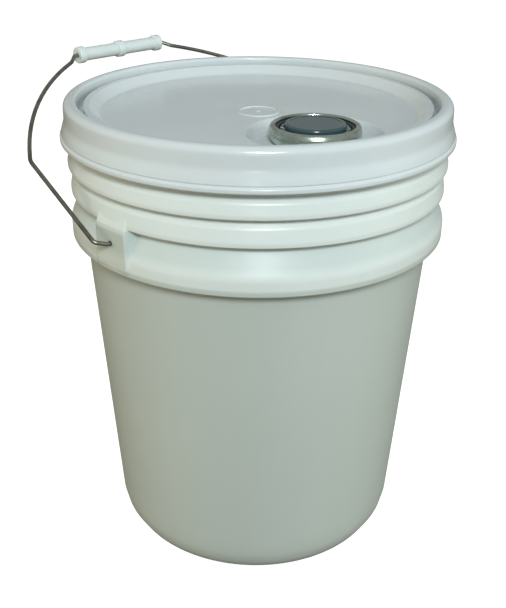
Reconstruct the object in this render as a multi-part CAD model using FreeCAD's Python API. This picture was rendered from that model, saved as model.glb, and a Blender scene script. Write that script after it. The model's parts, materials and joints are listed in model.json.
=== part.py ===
import FreeCAD, Part
import math
import os

from FreeCAD import Vector

# A 20 litre (US five gallon) plastic pail with a press-on lid, a pull-up pouring
# spout and a wire bail. Millimetres. The origin is the centre of the base on the
# floor, +Z is up, and the bail turns about a line parallel to X. The bail leans
# towards +Y, and the spout stands on the other side of the lid.

# ---- driving dimensions -------------------------------------------------------
total_height = 380.2          # floor to the top of the closed lid
base_radius = 120.3           # the wall line carried down to the floor
wall_taper = 0.0647           # radius gained per millimetre of height
wall = 2.3                    # pail wall
base_corner = 32.0            # outer radius of the bottom corner
foot_inner = 80.0             # inside of the ring the pail stands on
foot_recess = 2.5             # the bottom panel's height above the floor
foot_pad = 14.0               # radius of the pad in the middle of the bottom, level with the ring
rim_top = total_height - 5.6  # top edge of the open pail
rim_bead_r = 145.7            # the bead round the rim that the lid grips

rib_skin = 2.2                # wall of the hoops and the skirt under the rim
hoop_1 = {"lip_r": 148.0, "lip_z": 332.0, "shoulder": (335.2, 342.7), "root_z": 346.7, "step": 1.7}
hoop_2 = {"lip_r": 146.8, "lip_z": 312.0, "shoulder": (315.4, 324.7), "root_z": 329.2, "step": 1.8}
skirt = {"lip_r": 148.3, "lip_z": 277.0, "shoulder_z": 289.7, "root_z": 307.7}

ear_face = 148.8              # flat outer face of each ear, from the axis
ear_root = 136.0              # inner end of the ear's block, inside the wall
ear_half = (15.0, 24.2)       # half widths of the ear at its face and at its root
ear_round = 3.0               # rounding of the ear's two upright edges
ear_flat_z = (284.0, 309.0)   # bottom and top of the flat face
ear_lips = (147.1, 144.6)     # the ear's reach where it meets the skirt's lip and the hoop above
ear_skin = 2.5
ear_bite = 1.0                # how far the ear's block runs into the wall
ear_backing = 0.3             # left on the wall behind the ear's hollow
pivot_z = 298.7               # height of the bail's turning line
ear_hole_r = 2.0

lid_skin = 2.2
lid_radius = 148.0            # outside of the lid at its top
lid_bead_r = 152.2            # outside of the bead at the lid's lower edge
lid_skirt_depth = 29.2
panel_depth = 12.0            # flat panel below the top of the lid
groove_depth = 14.0

spout_r = 79.0                # spout axis from the pail's axis
spout_azimuth = -105.5        # degrees from +X
handle_azimuth = -46.2        # direction of the cap handles' hinge line
well_r = 48.5                 # the dished place round the spout
well_depth = 18.0
neck_top = 10.4               # top of the lid's neck below the lid's top
neck_r = 27.0
neck_bead_r = 30.8

nozzle_bore = 15.5
nozzle_r = 17.8
thread_r = 19.2
thread_pitch = 4.0
thread_first = 11.4           # depth of the first thread ring
seal_depth = 19.8             # top of the tear-out disc below the lid's top
cap_r = 21.7
cap_top = 4.5
handle_r = (22.4, 24.9)
handle_z = (8.0, 10.2)
handle_offset = 1.7           # each handle's hinge line from the cap's middle
hinge_pin_r = 0.5
hinge_bore_r = 0.58
hinge_span = (20.5, 23.6)     # from the cap's middle to each end of a hinge pin

wire_r = 1.6
head_r = 3.1                  # the upset ends of the wire inside the ears
head_span = (142.6, 144.2)    # from the axis to each end of the upset head
bail_lean = 28.25             # degrees above the horizontal
grip_length = 89.6
grip_reach = 194.1            # pivot line to the grip's axis
grip_bore = 1.95
grip_body_r = 5.5
grip_collar_r = 6.9

top = total_height


# ---- helpers ------------------------------------------------------------------
def rounded_edges(corners, closed):
    """Straight runs between the corners, with a tangent arc at each corner.

    Each corner is (point, radius), and a radius of 0 keeps the corner sharp.
    """
    count = len(corners)
    starts, ends, arcs = [], [], []
    for i, (point, radius) in enumerate(corners):
        has_arc = radius > 0 and (closed or 0 < i < count - 1)
        if not has_arc:
            starts.append(point)
            ends.append(point)
            arcs.append(None)
            continue
        into = (point - corners[i - 1][0]).normalize()
        away = (corners[(i + 1) % count][0] - point).normalize()
        turn = into.getAngle(away)
        reach = radius * math.tan(turn / 2)
        start = point - into * reach
        end = point + away * reach
        inward = (away - into).normalize()
        middle = point + inward * (radius / math.cos(turn / 2) - radius)
        starts.append(start)
        ends.append(end)
        arcs.append(Part.Arc(start, middle, end).toShape())
    edges = []
    for i in range(count):
        if arcs[i] is not None:
            edges.append(arcs[i])
        j = (i + 1) % count
        if j == 0 and not closed:
            break
        if ends[i].distanceToPoint(starts[j]) > 1e-6:
            edges.append(Part.LineSegment(ends[i], starts[j]).toShape())
    return edges


def turned(profile):
    """A solid of revolution about Z. Profile entries are (r, z) or (r, z, corner radius)."""
    corners = [(Vector(p[0], 0, p[1]), p[2] if len(p) > 2 else 0) for p in profile]
    face = Part.Face(Part.Wire(rounded_edges(corners, True)))
    return face.revolve(Vector(0, 0, 0), Vector(0, 0, 1), 360)


def below_top(profile):
    """The same profile with z given as a depth below the top of the lid."""
    return [(p[0], top - p[1]) + tuple(p[2:]) for p in profile]


def rod(start, end, radius):
    axis = end - start
    return Part.makeCylinder(radius, axis.Length, start, axis)


def at_spout(shape):
    angle = math.radians(spout_azimuth)
    shape.translate(Vector(spout_r * math.cos(angle), spout_r * math.sin(angle), 0))
    return shape


def wall_r(z):
    return base_radius + wall_taper * z


# ---- pail ---------------------------------------------------------------------
def rib_corners(rib):
    """A hoop round the wall, open below: its inner side going out, then its outer side back."""
    lip = rib["lip_r"]
    low, high = rib["shoulder"]
    root = rib["root_z"]
    skin = rib_skin
    return [
        (wall_r(root - 3.4), root - 3.4, 0.8),
        (lip - rib["step"] - skin, high - 2.4, 2.0),
        (lip - skin, low - 1.0, 4.0),
        (lip - skin, rib["lip_z"], 0.7),
        (lip, rib["lip_z"], 0.9),
        (lip, low, 6.0),
        (lip - rib["step"], high, 4.0),
        (wall_r(root), root, 1.5),
    ]


def skirt_corners(rib):
    """The deep lowest hoop: a long cone that rounds over into an upright lip."""
    lip = rib["lip_r"]
    low = rib["shoulder_z"]
    root = rib["root_z"]
    skin = rib_skin
    return [
        (wall_r(root - 4.5), root - 4.5, 0.8),
        (lip - skin, low - 1.0, 10.0),
        (lip - skin, rib["lip_z"], 0.7),
        (lip, rib["lip_z"], 0.9),
        (lip, low, 13.0),
        (wall_r(root), root, 2.5),
    ]


def pail_shell():
    floor_in = foot_recess + wall
    profile = [
        (0, 0),
        (foot_pad, 0, 1.0),
        (foot_pad + foot_recess, foot_recess, 1.0),
        (foot_inner, foot_recess, 1.5),
        (foot_inner + 3.0, 0, 1.5),
        (base_radius, 0, base_corner),
    ]
    profile += skirt_corners(skirt)
    profile += rib_corners(hoop_2)
    profile += rib_corners(hoop_1)
    profile += [
        (wall_r(rim_top - 11.0), rim_top - 11.0, 1.0),
        (rim_bead_r, rim_top - 8.0, 1.0),
        (rim_bead_r, rim_top - 4.5, 1.0),
        (wall_r(rim_top), rim_top - 2.6, 1.0),
        (wall_r(rim_top), rim_top, 0.9),
        (wall_r(rim_top) - wall, rim_top, 0.9),
        (wall_r(wall) - wall, wall, base_corner - wall),
        (foot_inner + 2.0, wall, 1.5),
        (foot_inner - 1.0, floor_in, 1.5),
        (0, floor_in),
    ]
    return turned(profile)


def ear_block(face, half, edge_round, side_line):
    """A block with a flat outer face and slanting flanks, under an outline given as (x, z)."""
    plan = [(Vector(ear_root, -half[1], 0), 0), (Vector(face, -half[0], 0), edge_round),
            (Vector(face, half[0], 0), edge_round), (Vector(ear_root, half[1], 0), 0)]
    upright = Part.Face(Part.Wire(rounded_edges(plan, True))).extrude(Vector(0, 0, total_height))
    outline = Part.makePolygon([Vector(x, -half[1], z) for x, z in side_line + side_line[:1]])
    return upright.common(Part.Face(outline).extrude(Vector(0, 2 * half[1], 0)))


def wall_core(extra):
    """Everything within the wall's outer surface, moved out by the given amount."""
    low, high = skirt["lip_z"] - 50.0, hoop_2["root_z"] + 20.0
    return turned([(0, low), (wall_r(low) + extra, low), (wall_r(high) + extra, high), (0, high)])


def pail_with_ears():
    pail = pail_shell()
    lip_z = skirt["lip_z"]
    low, high = ear_flat_z
    hoop_z = hoop_2["shoulder"][0]
    ear = ear_block(ear_face, ear_half, ear_round, [
        (ear_root, lip_z + 1.2), (ear_lips[0], lip_z + 1.2), (ear_face, low), (ear_face, high),
        (ear_lips[1], hoop_z), (ear_root, hoop_z + 4.0)])
    inner_face = ear_face - ear_skin
    inner_half = (ear_half[0] - 1.0, ear_half[1] - ear_skin)
    cavity = ear_block(inner_face, inner_half, ear_round - 1.0, [
        (ear_root, lip_z - 1.0), (ear_lips[0] - ear_skin, lip_z - 1.0), (inner_face, low),
        (inner_face, high), (ear_root, high)])
    ear = ear.cut(wall_core(-ear_bite))
    cavity = cavity.cut(wall_core(ear_backing))
    hole = rod(Vector(ear_face - 4.5, 0, pivot_z), Vector(ear_face + 2.0, 0, pivot_z), ear_hole_r)
    for side in (0, 180):
        placed = [shape.copy() for shape in (ear, cavity, hole)]
        for shape in placed:
            shape.rotate(Vector(0, 0, 0), Vector(0, 0, 1), side)
        pail = pail.fuse(placed[0]).cut(placed[1]).cut(placed[2])
    return pail


# ---- lid ----------------------------------------------------------------------
def lid_cover():
    skin = lid_skin
    cover = turned(below_top([
        (0, panel_depth),
        (121.5, panel_depth, 3.0),
        (128.5, 4.8, 2.0),
        (133.5, 4.8, 1.2),
        (133.5, groove_depth, 1.2),
        (138.4, groove_depth, 1.2),
        (138.4, 0, 2.4),
        (lid_radius, 0, 5.0),
        (148.3, 14.5, 14.0),
        (150.2, 20.3, 3.0),
        (151.1, 23.6, 0.8),
        (150.5, 24.6, 0.4),
        (lid_bead_r, 26.0, 1.0),
        (lid_bead_r, lid_skirt_depth, 1.1),
        (lid_bead_r - 2.2, lid_skirt_depth, 0.8),
        (lid_bead_r - 3.2, 24.0, 2.0),
        (146.4, 17.0, 5.0),
        (146.3, skin, 2.8),
        (138.4 + skin, skin, 1.0),
        (138.4 + skin, groove_depth + skin, 1.6),
        (133.5 - skin, groove_depth + skin, 1.6),
        (133.5 - skin, 4.8 + skin, 0.9),
        (129.4, 4.8 + skin, 0.9),
        (122.4, panel_depth + skin, 2.0),
        (0, panel_depth + skin),
    ]))
    under_surface = turned(below_top([
        (0, panel_depth),
        (121.5, panel_depth),
        (128.5, 4.8),
        (132.5, 4.8),
        (132.5, 30.0),
        (0, 30.0),
    ]))
    well_block = at_spout(turned(below_top([
        (0, well_depth + skin),
        (45.9, well_depth + skin, 2.0),
        (well_r + 2.2, panel_depth + 1.0, 2.0),
        (well_r + 2.2, 3.0),
        (0, 3.0),
    ])))
    well_hollow = at_spout(turned(below_top([
        (0, 30.0),
        (neck_r, 30.0),
        (neck_r, well_depth),
        (44.5, well_depth, 2.0),
        (well_r, panel_depth, 3.0),
        (well_r, -5.0),
        (0, -5.0),
    ])))
    neck = at_spout(turned(below_top([
        (neck_r, well_depth + skin, 0.8),
        (neck_r, neck_top, 0.6),
        (neck_bead_r, neck_top, 0.8),
        (neck_bead_r, 12.6, 0.6),
        (29.4, 13.8, 0.6),
        (29.4, well_depth + skin),
    ])))
    cover = cover.fuse(well_block.common(under_surface)).cut(well_hollow).fuse(neck)
    return cover.removeSplitter()


def lid_gasket():
    return turned(below_top([
        (141.65, lid_skin),
        (143.4, lid_skin),
        (144.5, 3.3),
        (144.5, 5.3),
        (141.65, 5.3),
    ]))


# ---- spout --------------------------------------------------------------------
def spout_crimp_ring():
    return at_spout(turned(below_top([
        (28.3, 7.3),
        (28.3, 5.6, 1.3),
        (31.8, 5.6, 2.4),
        (33.2, 9.2, 3.0),
        (33.2, 12.8, 3.0),
        (31.3, 16.6),
        (30.6, 16.2),
        (32.5, 12.6, 2.4),
        (32.5, 9.3, 2.4),
        (31.4, 6.3, 1.7),
        (29.0, 6.3, 0.6),
        (29.0, 7.3),
    ])))


def spout_collar():
    return at_spout(turned(below_top([
        (25.8, neck_top),
        (25.8, 7.7, 1.0),
        (31.4, 7.7, 1.4),
        (32.1, 12.6, 0.3),
        (31.1, 12.6, 0.3),
        (31.1, neck_top),
    ])))


def spout_bellows():
    return at_spout(turned(below_top([
        (26.8, neck_top),
        (26.8, 37.0, 2.0),
        (22.4, 37.0, 2.0),
        (22.4, 31.05),
        (23.4, 31.05),
        (23.4, 36.0, 1.0),
        (25.8, 36.0, 1.0),
        (25.8, neck_top),
    ])))


def spout_nozzle():
    r = nozzle_r
    profile = [(nozzle_bore, 33.0), (nozzle_bore, 8.6, 0.5), (r, 8.6, 0.6)]
    for turn in range(3):
        depth = thread_first + thread_pitch * turn
        profile += [(r, depth), (thread_r, depth + 0.6), (thread_r, depth + 1.4), (r, depth + 2.2)]
    profile += [(r, 29.2, 0.8), (23.4, 29.2), (23.4, 31.0), (r, 31.0), (r, 33.0)]
    return at_spout(turned(below_top(profile)))


def pour_seal():
    disc_top = top - seal_depth
    ring_r, ring_z = 6.0, disc_top + 1.5
    thickness = 1.2
    disc = Part.makeCylinder(nozzle_bore - 0.05, thickness, Vector(0, 0, disc_top - thickness))
    ring = Part.makeTorus(ring_r, 0.9, Vector(0, 0, ring_z))
    post = rod(Vector(ring_r, 0, disc_top - 0.5), Vector(ring_r, 0, ring_z), 0.8)
    return at_spout(disc.fuse(post).fuse(ring))


def cap_liner():
    return at_spout(Part.makeCylinder(17.6, 1.6, Vector(0, 0, top - 8.3)))


def handle_pins(radius, inner, outer):
    """Four short rods on the two hinge lines, two on each side of the cap's middle."""
    z = top - sum(handle_z) / 2
    return [rod(Vector(side * inner, offset, z), Vector(side * outer, offset, z), radius)
            for offset in (handle_offset, -handle_offset) for side in (1, -1)]


def to_handle_line(shape):
    shape.rotate(Vector(0, 0, 0), Vector(0, 0, 1), handle_azimuth)
    return at_spout(shape)


def spout_cap():
    cap = turned(below_top([
        (0, cap_top),
        (cap_r, cap_top, 2.0),
        (cap_r, 11.2, 0.4),
        (25.0, 11.2, 0.4),
        (25.0, 12.8, 0.4),
        (cap_r, 12.8, 0.6),
        (cap_r, 24.0, 0.4),
        (19.6, 24.0, 0.4),
        (19.6, 6.6, 0.5),
        (0, 6.6),
    ]))
    for pin in handle_pins(hinge_pin_r, *hinge_span):
        cap = cap.fuse(pin)
    return to_handle_line(cap)


def cap_handle(side):
    """A half ring on one side of the cap, with a bored barrel at each end."""
    inner, outer = handle_r
    ring = turned(below_top([
        (inner, handle_z[1], 0.4),
        (inner, handle_z[0], 0.4),
        (outer, handle_z[0], 0.6),
        (outer, handle_z[1], 0.6),
    ]))
    keep = Part.makeBox(60, 30, 60, Vector(-30, handle_offset, top - 40))
    handle = ring.common(keep)
    for barrel in handle_pins((handle_z[1] - handle_z[0]) / 2, inner - 0.06, outer - 0.06)[:2]:
        handle = handle.fuse(barrel)
    for bore in handle_pins(hinge_bore_r, inner - 1.0, hinge_span[1] + 0.2)[:2]:
        handle = handle.cut(bore)
    if side < 0:
        handle.rotate(Vector(0, 0, 0), Vector(0, 0, 1), 180)
    return to_handle_line(handle)


# ---- bail ---------------------------------------------------------------------
def bail_point(across, reach):
    """A point of the bail: across is along X, reach is the distance from the pivot line."""
    lean = math.radians(bail_lean)
    return Vector(across, reach * math.cos(lean), pivot_z + reach * math.sin(lean))


def bail_corners():
    """The right half of the bent wire: (across, reach, bend radius), from the ear to the grip."""
    return [
        (143.0, 0, 0),
        (151.0, 0, 3.0),
        (159.0, 5.2, 4.0),
        (156.0, 91.5, 12.0),
        (120.2, 156.0, 214.0),
        (55.2, 186.9, 14.0),
        (47.6, grip_reach, 4.5),
    ]


def bail_wire():
    half = bail_corners()
    other = [(-x, w, r) for x, w, r in reversed(half)]
    corners = [(bail_point(x, w), r) for x, w, r in half + other]
    path = Part.Wire(rounded_edges(corners, False))
    circle = Part.makeCircle(wire_r, corners[0][0], Vector(1, 0, 0))
    wire = path.makePipeShell([Part.Wire([circle])], True, False)
    for side in (1, -1):
        head = rod(Vector(side * head_span[0], 0, pivot_z), Vector(side * head_span[1], 0, pivot_z), head_r)
        wire = wire.fuse(head)
    print("bail wire volume", round(wire.Volume, 1), "section times length",
          round(math.pi * wire_r ** 2 * path.Length, 1))
    return wire


def bail_grip():
    half = grip_length / 2
    body, collar = grip_body_r, grip_collar_r
    side = [
        (grip_bore, half, 0.4),
        (collar, half, 1.2),
        (collar, half - 6.0, 0.8),
        (body, half - 7.2, 0.8),
        (body, 4.2, 0.8),
        (collar, 3.0, 0.8),
    ]
    grip = turned([(r, -x, bend) for r, x, bend in side] + side[::-1])
    grip.rotate(Vector(0, 0, 0), Vector(0, 1, 0), 90)
    grip.translate(bail_point(0, grip_reach))
    return grip


# ---- nodes --------------------------------------------------------------------
nodes = {
    "pail_body": pail_with_ears(),
    "lid_cover": lid_cover(),
    "lid_gasket": lid_gasket(),
    "spout_crimp_ring": spout_crimp_ring(),
    "spout_collar": spout_collar(),
    "spout_bellows": spout_bellows(),
    "spout_nozzle": spout_nozzle(),
    "pour_seal": pour_seal(),
    "cap_liner": cap_liner(),
    "spout_cap": spout_cap(),
    "cap_handle_front": cap_handle(-1),
    "cap_handle_back": cap_handle(1),
    "bail_wire": bail_wire(),
    "bail_grip": bail_grip(),
}

os.makedirs("parts", exist_ok=True)
for name, shape in nodes.items():
    if shape.ShapeType == "Compound" and len(shape.Solids) == 1:
        shape = shape.Solids[0]
    box = shape.BoundBox
    print(name, shape.ShapeType, "solids", len(shape.Solids), "valid", shape.isValid(),
          "volume", round(shape.Volume), "z", round(box.ZMin, 2), round(box.ZMax, 2))
    shape.exportStep("parts/" + name + ".step")
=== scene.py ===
import json
import math

import bmesh
import bpy
import numpy as np
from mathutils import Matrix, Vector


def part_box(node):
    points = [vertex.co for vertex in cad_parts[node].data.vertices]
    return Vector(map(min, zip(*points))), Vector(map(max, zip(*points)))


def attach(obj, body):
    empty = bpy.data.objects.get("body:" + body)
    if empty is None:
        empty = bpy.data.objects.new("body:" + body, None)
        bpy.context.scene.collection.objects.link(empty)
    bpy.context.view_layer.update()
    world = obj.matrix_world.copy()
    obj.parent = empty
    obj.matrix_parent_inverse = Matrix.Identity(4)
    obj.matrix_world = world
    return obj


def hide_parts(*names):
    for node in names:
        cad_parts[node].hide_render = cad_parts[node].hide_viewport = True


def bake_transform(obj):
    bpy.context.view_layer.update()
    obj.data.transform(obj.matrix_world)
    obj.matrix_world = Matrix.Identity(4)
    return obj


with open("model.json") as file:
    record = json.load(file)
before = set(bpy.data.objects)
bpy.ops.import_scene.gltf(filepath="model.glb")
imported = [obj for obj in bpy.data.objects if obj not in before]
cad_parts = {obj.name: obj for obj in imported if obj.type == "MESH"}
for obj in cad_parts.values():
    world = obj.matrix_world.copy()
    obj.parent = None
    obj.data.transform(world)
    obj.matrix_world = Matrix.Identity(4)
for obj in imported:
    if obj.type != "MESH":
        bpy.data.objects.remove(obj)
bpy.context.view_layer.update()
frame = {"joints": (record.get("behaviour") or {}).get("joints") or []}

# Sizes are in millimetres until a mesh is made. Depths are measured down from the top of the lid.
mm = 0.001


def nodeBox(name):
    low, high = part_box(name)
    return np.array(low) / mm, np.array(high) / mm


def jointOf(name):
    return next(j for j in frame["joints"] if j["name"] == name)


lidTop = nodeBox("lid_cover")[1][2]
spoutAxis = np.array(jointOf("cap_turn")["pos_m"][:2]) / mm
pivotHeight = jointOf("bail_swing")["pos_m"][2] / mm
gripCentre = np.array(jointOf("grip_spin")["pos_m"]) / mm
handleAzimuth = math.atan2(*jointOf("back_handle_fold")["axis"][1::-1])


# ---- shapes -------------------------------------------------------------------

def softCorners(corners, closed=True, steps=6):
    # A run of corners (..., radius) as a line with a tangent arc at each corner, in any number of dimensions.
    # Arc point = centre + (sin((1-s) turn) a + sin(s turn) b) / sin(turn), a and b the arms to its two ends.
    # Returns the points and, for each, the number of the corner that it came from.
    corners = np.array(corners, float)
    point, radius = corners[:, :-1], corners[:, -1].copy()
    if not closed:
        radius[[0, -1]] = 0
    into = point - np.roll(point, 1, 0)
    away = np.roll(point, -1, 0) - point
    into /= np.linalg.norm(into, axis=1)[:, None]
    away /= np.linalg.norm(away, axis=1)[:, None]
    turn = np.arccos(np.clip((into * away).sum(1), -1, 1))
    bent = (radius > 0) & (turn > 1e-4)
    reach = np.where(bent, radius * np.tan(turn / 2), 0)[:, None]
    inward = away - into
    inward /= np.maximum(np.linalg.norm(inward, axis=1), 1e-9)[:, None]
    centre = point + inward * np.where(bent, radius / np.cos(turn / 2), 0)[:, None]
    s = np.linspace(0, 1, steps + 1)[None, :]
    sine = np.where(bent, np.sin(turn), 1)[:, None]
    weightA = np.sin((1 - s) * turn[:, None]) / sine
    weightB = np.sin(s * turn[:, None]) / sine
    armA = point - into * reach - centre
    armB = point + away * reach - centre
    arc = centre[:, None] + weightA[..., None] * armA[:, None] + weightB[..., None] * armB[:, None]
    arc = np.where(bent[:, None, None], arc, point[:, None])
    line = arc.reshape(-1, point.shape[1])
    tag = np.repeat(np.arange(len(point)), steps + 1).astype(float)
    keep = np.r_[True, np.linalg.norm(np.diff(line, axis=0), axis=1) > 1e-5]
    return line[keep], tag[keep]


def filled(line, tag, spacing, closed=True):
    # More points along each run, no further apart than spacing(middle, tag) says.
    if closed:
        line, tag = np.vstack([line, line[:1]]), np.r_[tag, tag[-1] + 1]
    span = np.diff(line, axis=0)
    middle = (line[:-1] + line[1:]) / 2
    limit = np.broadcast_to(spacing(middle, tag[:-1]), len(span))
    count = np.maximum(np.ceil(np.linalg.norm(span, axis=1) / limit - 1e-6), 1).astype(int)
    first = np.repeat(np.arange(len(span)), count)
    share = (np.arange(count.sum()) - np.repeat(np.cumsum(count) - count, count)) / np.repeat(count, count)
    points = line[first] + span[first] * share[:, None]
    tags = tag[first] + (tag[first + 1] - tag[first]) * share
    return points, tags


def outline(corners, spacing, closed=True, steps=6):
    return filled(*softCorners(corners, closed, steps), spacing, closed)


def ring(count):
    return np.arange(count) * 2 * np.pi / count


def turned(profile, angles):
    # Profile (r, z) carried round Z: x = r cos a, y = r sin a.
    r, z = profile[:, 0][:, None], profile[:, 1][:, None]
    return np.stack([r * np.cos(angles), r * np.sin(angles), z + 0 * angles], -1)


def turnedPiece(corners, count, spacing):
    # A closed profile, given by corners with depths, carried round the spout's own axis.
    corners = [(r, lidTop - depth, radius) for r, depth, radius in corners]
    line, tag = outline(corners, lambda middle, t: spacing)
    return atSpout(turned(line, ring(count)))


def atSpout(points):
    return points + np.array([spoutAxis[0], spoutAxis[1], 0])


def gridFaces(rows, columns, closedRows, closedColumns, start=0):
    r = np.arange(rows if closedRows else rows - 1)[:, None]
    c = np.arange(columns if closedColumns else columns - 1)[None, :]
    nextR, nextC = (r + 1) % rows, (c + 1) % columns
    quads = np.stack([r * columns + c, r * columns + nextC, nextR * columns + nextC, nextR * columns + c], -1)
    return quads.reshape(-1, 4) + start


def makePiece(name, grids, body, nodes, material, sharp=35):
    # grids: (points[rows, columns, 3], closed along rows, closed along columns). Doubles are merged at the
    # end, which closes poles and drops the flat faces of rows that run together.
    points, faces, start = [], [], 0
    for grid, closedRows, closedColumns in grids:
        rows, columns = grid.shape[:2]
        faces.append(gridFaces(rows, columns, closedRows, closedColumns, start))
        points.append(grid.reshape(-1, 3))
        start += rows * columns
    mesh = bpy.data.meshes.new(name)
    mesh.from_pydata(np.vstack(points) * mm, [], np.vstack(faces).tolist())
    tidyMesh(mesh, sharp)
    piece = bpy.data.objects.new(name, mesh)
    bpy.context.scene.collection.objects.link(piece)
    mesh.materials.append(material)
    if body:
        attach(piece, body)
    if nodes:
        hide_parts(*nodes)
    print("made", name, len(mesh.polygons), "faces")
    return piece


def tidyMesh(mesh, sharp):
    bm = bmesh.new()
    bm.from_mesh(mesh)
    bmesh.ops.remove_doubles(bm, verts=bm.verts, dist=2e-6)
    bmesh.ops.dissolve_degenerate(bm, edges=bm.edges, dist=1e-6)
    loose = [v for v in bm.verts if not v.link_faces]
    bmesh.ops.delete(bm, geom=loose, context="VERTS")
    bmesh.ops.recalc_face_normals(bm, faces=bm.faces)
    bm.to_mesh(mesh)
    bm.free()
    mesh.shade_smooth()
    mesh.set_sharp_from_angle(angle=math.radians(sharp))


# ---- materials ----------------------------------------------------------------

def newGroup(name, inputs, outputs):
    group = bpy.data.node_groups.new(name, "ShaderNodeTree")
    for title, kind, default in inputs:
        socket = group.interface.new_socket(name=title, in_out="INPUT", socket_type=kind)
        if default is not None:
            socket.default_value = default
    for title, kind in outputs:
        group.interface.new_socket(name=title, in_out="OUTPUT", socket_type=kind)
    return group, group.nodes.new("NodeGroupInput"), group.nodes.new("NodeGroupOutput")


def addNode(tree, kind, settings=None, **values):
    node = tree.nodes.new(kind)
    for key, value in (settings or {}).items():
        setattr(node, key, value)
    for key, value in values.items():
        title = key.replace("_", " ")
        found = [s for s in node.inputs if s.name.lower() == title.lower() and s.enabled]
        found[0].default_value = value
    return node


def math2(tree, operation, a, b=None, clamp=False):
    node = addNode(tree, "ShaderNodeMath", {"operation": operation, "use_clamp": clamp})
    for socket, value in zip(node.inputs, (a, b)):
        if isinstance(value, (int, float)):
            socket.default_value = value
        elif value is not None:
            tree.links.new(value, socket)
    return node.outputs[0]


def noise(tree, vector, scale, detail=2.0, roughness=0.5, distortion=0.0):
    node = addNode(tree, "ShaderNodeTexNoise", Scale=scale, Detail=detail, Roughness=roughness,
                   Distortion=distortion)
    tree.links.new(vector, node.inputs["Vector"])
    return node.outputs["Fac"]


def scaledCoords(tree, vector, scale):
    node = addNode(tree, "ShaderNodeMapping", Scale=scale)
    tree.links.new(vector, node.inputs["Vector"])
    return node.outputs["Vector"]


def remap(tree, value, low, high, toLow=0.0, toHigh=1.0):
    node = addNode(tree, "ShaderNodeMapRange", {"clamp": True})
    for title, number in (("From Min", low), ("From Max", high), ("To Min", toLow), ("To Max", toHigh)):
        node.inputs[title].default_value = number
    tree.links.new(value, node.inputs["Value"])
    return node.outputs[0]


def mixColour(tree, factor, a, b, blend="MIX"):
    node = addNode(tree, "ShaderNodeMix", {"data_type": "RGBA", "blend_type": blend})
    for socket, value in ((node.inputs[0], factor), (node.inputs[6], a), (node.inputs[7], b)):
        if isinstance(value, (int, float)):
            socket.default_value = value
        elif isinstance(value, (tuple, list)):
            socket.default_value = tuple(value) if len(value) == 4 else (*value, 1)
        else:
            tree.links.new(value, socket)
    return node.outputs[2]


def mouldedGroup():
    # Moulded polythene: broad cloudy drift, faint upright flow streaks, a fine pebble from the mould,
    # and short hair scratches. Tone is a value round 0.5, Height drives a bump, Dullness is added roughness.
    group, source, sink = newGroup("moulded plastic", [
        ("Cloud", "NodeSocketFloat", 1.0), ("Streaks", "NodeSocketFloat", 1.0),
        ("Pebble", "NodeSocketFloat", 1.0), ("Scratches", "NodeSocketFloat", 1.0)],
        [("Tone", "NodeSocketFloat"), ("Height", "NodeSocketFloat"), ("Dullness", "NodeSocketFloat")])
    coords = group.nodes.new("ShaderNodeTexCoord").outputs["Object"]
    cloud = noise(group, coords, 9.0, 3.0, 0.55)
    streakCoords = scaledCoords(group, coords, (1.0, 1.0, 0.09))
    streaks = noise(group, streakCoords, 70.0, 3.0, 0.6)
    pebble = noise(group, coords, 1500.0, 2.0, 0.6)
    orange = noise(group, coords, 260.0, 2.0, 0.5)
    scratchCoords = scaledCoords(group, coords, (1.0, 1.0, 9.0))
    scratchNoise = noise(group, scratchCoords, 55.0, 4.0, 0.7, 1.5)
    scratchLine = math2(group, "ABSOLUTE", math2(group, "SUBTRACT", scratchNoise, 0.5))
    scratches = remap(group, scratchLine, 0.0, 0.006, 1.0, 0.0)
    patch = remap(group, noise(group, coords, 14.0, 2.0, 0.6), 0.52, 0.66)
    scratches = math2(group, "MULTIPLY", scratches, patch)

    cloudPart = math2(group, "MULTIPLY", math2(group, "SUBTRACT", cloud, 0.5), source.outputs["Cloud"])
    streakPart = math2(group, "MULTIPLY", math2(group, "SUBTRACT", streaks, 0.5), source.outputs["Streaks"])
    streakPart = math2(group, "MULTIPLY", streakPart, 0.5)
    scratchPart = math2(group, "MULTIPLY", scratches, source.outputs["Scratches"])
    tone = math2(group, "ADD", math2(group, "ADD", cloudPart, streakPart), 0.5)
    tone = math2(group, "ADD", tone, math2(group, "MULTIPLY", scratchPart, 0.12), clamp=True)
    group.links.new(tone, sink.inputs["Tone"])

    pebblePart = math2(group, "MULTIPLY", math2(group, "ADD", math2(group, "MULTIPLY", pebble, 0.12), orange),
                       math2(group, "MULTIPLY", source.outputs["Pebble"], 0.35))
    height = math2(group, "SUBTRACT", pebblePart, math2(group, "MULTIPLY", scratchPart, 0.3))
    height = math2(group, "ADD", height, math2(group, "MULTIPLY", cloudPart, 2.5))
    group.links.new(height, sink.inputs["Height"])
    orangePart = math2(group, "MULTIPLY", math2(group, "SUBTRACT", orange, 0.5), source.outputs["Pebble"])
    dull = math2(group, "ADD", math2(group, "MULTIPLY", scratchPart, 0.25),
                 math2(group, "MULTIPLY", orangePart, 0.3))
    dull = math2(group, "ADD", dull, math2(group, "MULTIPLY", cloudPart, 0.3))
    group.links.new(dull, sink.inputs["Dullness"])
    return group


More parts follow.
